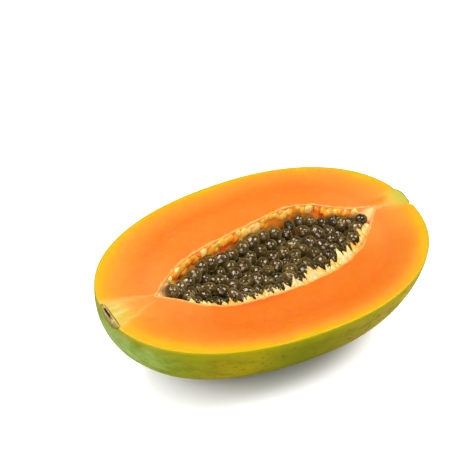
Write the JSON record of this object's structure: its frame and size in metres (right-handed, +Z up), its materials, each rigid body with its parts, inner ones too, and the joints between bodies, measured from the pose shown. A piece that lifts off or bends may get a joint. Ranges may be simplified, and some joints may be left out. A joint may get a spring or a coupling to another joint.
{
  "type": "halved papaya fruit",
  "caption": "Half of a ripe papaya cut lengthwise: rounded skin below, flat cut face with a lens-shaped cavity full of seeds, corky stem scar at one end.",
  "frame": {"origin": "on the surface the fruit rests on, under the middle of its bounding box", "axes": "+X from the stem end to the blossom end, +Z up; the cut face leans 13 degrees from level towards -Y"},
  "size_m": [0.1642, 0.0986, 0.0603],
  "materials": {
    "flesh_and_skin": "moist orange flesh under a thin waxy green and yellow skin",
    "seed": "wet, glossy, dark olive-brown seeds in clear sacs",
    "cork": "dry matt brown cork"
  },
  "bodies": {
    "root": {"papaya_half": "flesh_and_skin", "seeds": "seed", "stem_scar": "cork"}
  },
  "joints": []
}
